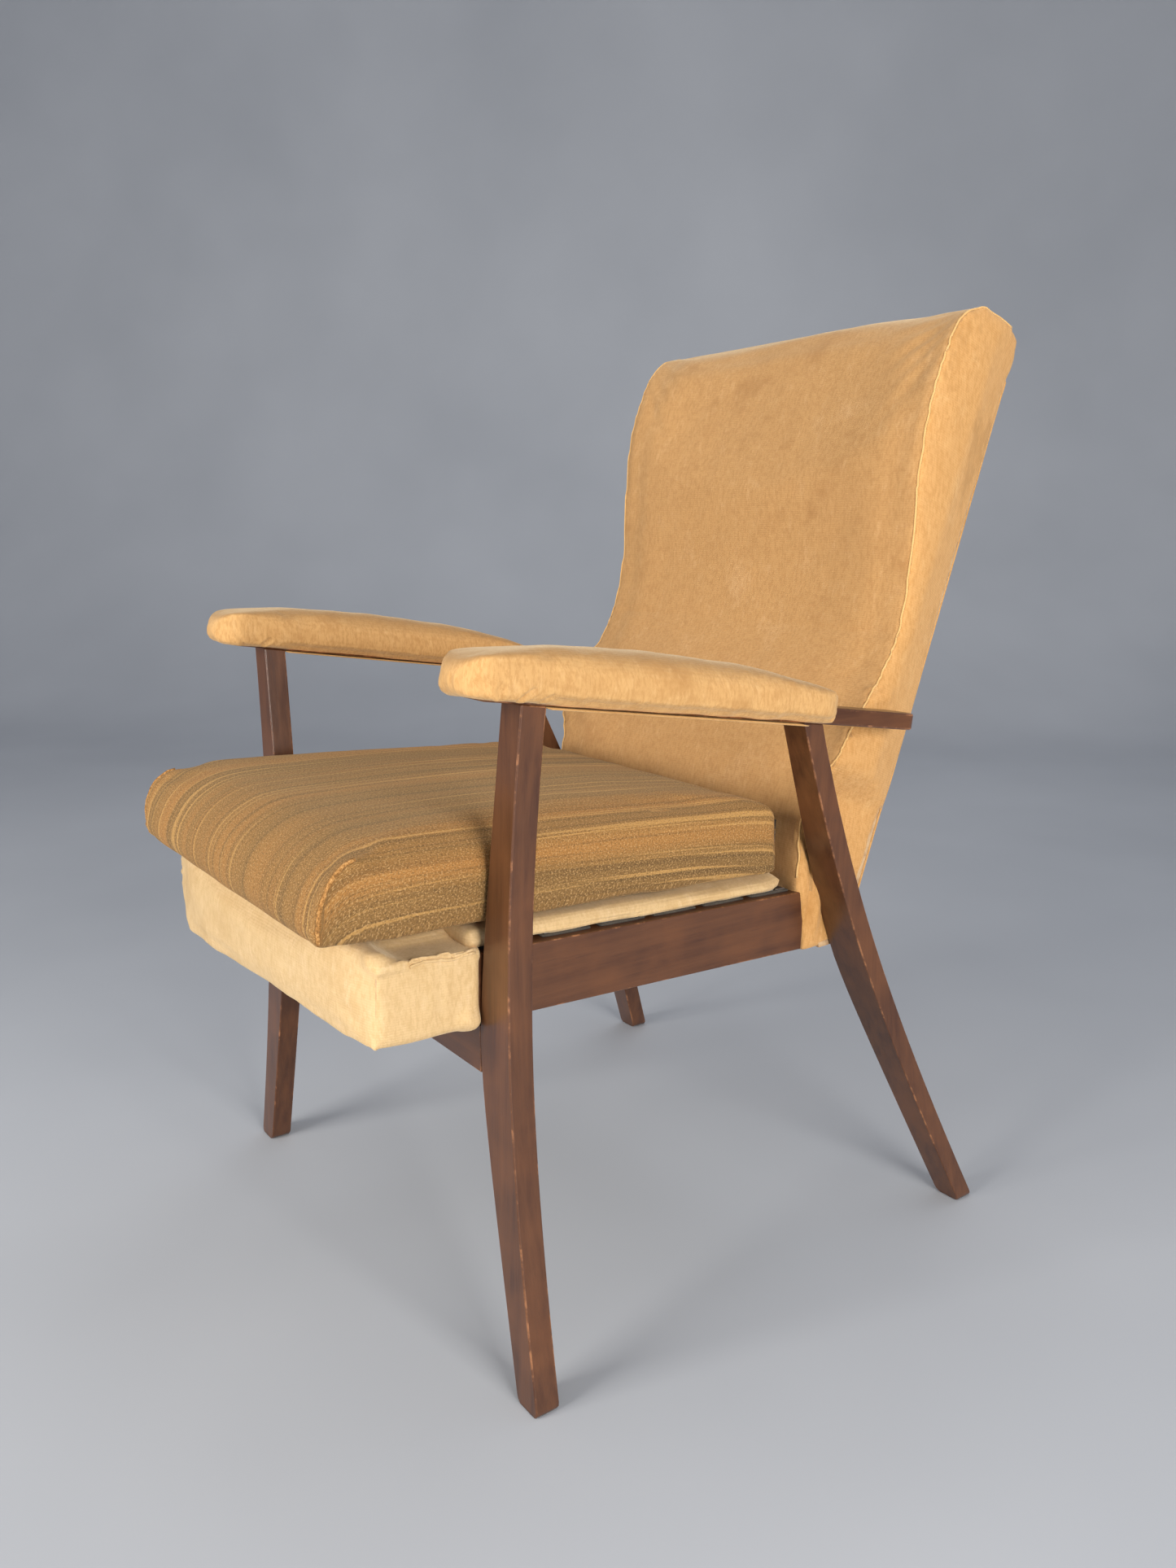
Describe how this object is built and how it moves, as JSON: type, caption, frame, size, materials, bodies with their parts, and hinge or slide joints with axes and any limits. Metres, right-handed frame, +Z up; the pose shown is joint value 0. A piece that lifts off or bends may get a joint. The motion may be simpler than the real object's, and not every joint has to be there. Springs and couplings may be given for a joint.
{
  "type": "upholstered armchair",
  "caption": "Armchair with cranked splayed wooden legs, padded sloping arms, a high shaped back and a loose seat cushion that lifts off a webbed and padded seat.",
  "frame": {"origin": "on the floor, under the centre of the chair's bounding box", "axes": "+Z up; the chair faces -Y; +X is the sitter's left; X = 0 is the plane of symmetry"},
  "size_m": [0.594, 0.7914, 0.9221],
  "materials": {
    "stained_wood": "satin lacquer, dark red-brown stain",
    "raw_wood": "unfinished beech",
    "velour": "golden pile velour",
    "seat_weave": "striped wool weave",
    "foam": "open-cell foam",
    "webbing": "rubberised webbing",
    "steel": "zinc plated"
  },
  "bodies": {
    "frame": {"front_leg_left": "stained_wood", "front_leg_right": "stained_wood", "rear_leg_left": "stained_wood", "rear_leg_right": "stained_wood", "arm_rail_left": "stained_wood", "arm_rail_right": "stained_wood", "arm_foam_left": "foam", "arm_foam_right": "foam", "arm_cover_left": "velour", "arm_cover_right": "velour", "arm_underside_left": "velour", "arm_underside_right": "velour", "seat_rail_left": "stained_wood", "seat_rail_right": "stained_wood", "front_cross_rail": "stained_wood", "border_board": "raw_wood", "corner_blocks": "raw_wood", "border_foam": "foam", "border_cover": "velour", "seat_webbing": "webbing", "webbing_staples": "steel", "platform_pad": "foam", "platform_cover": "velour", "back_stile_left": "raw_wood", "back_stile_right": "raw_wood", "back_wing_left": "raw_wood", "back_wing_right": "raw_wood", "back_top_rail": "raw_wood", "back_lumbar_rail": "raw_wood", "back_bottom_rail": "raw_wood", "back_webbing": "webbing", "back_foam": "foam", "back_front_cover": "velour", "back_side_cover_left": "velour", "back_side_cover_right": "velour", "back_rear_cover": "velour", "leg_bolts": "steel", "arm_bolts": "steel", "arm_dowels": "raw_wood"},
    "seat_cushion": {"cushion_foam": "foam", "cushion_cover": "seat_weave", "cushion_zip": "webbing"},
    "zip_slider": {"zip_slider": "steel"}
  },
  "joints": [
    {"name": "cushion_lift_out", "type": "slide", "parent": "frame", "child": "seat_cushion", "axis": [0, -0.9781, 0.2079], "range_m": [0, 0.55]},
    {"name": "zip_slide", "type": "slide", "parent": "seat_cushion", "child": "zip_slider", "axis": [1, 0, 0], "range_m": [0, 0.335]}
  ]
}
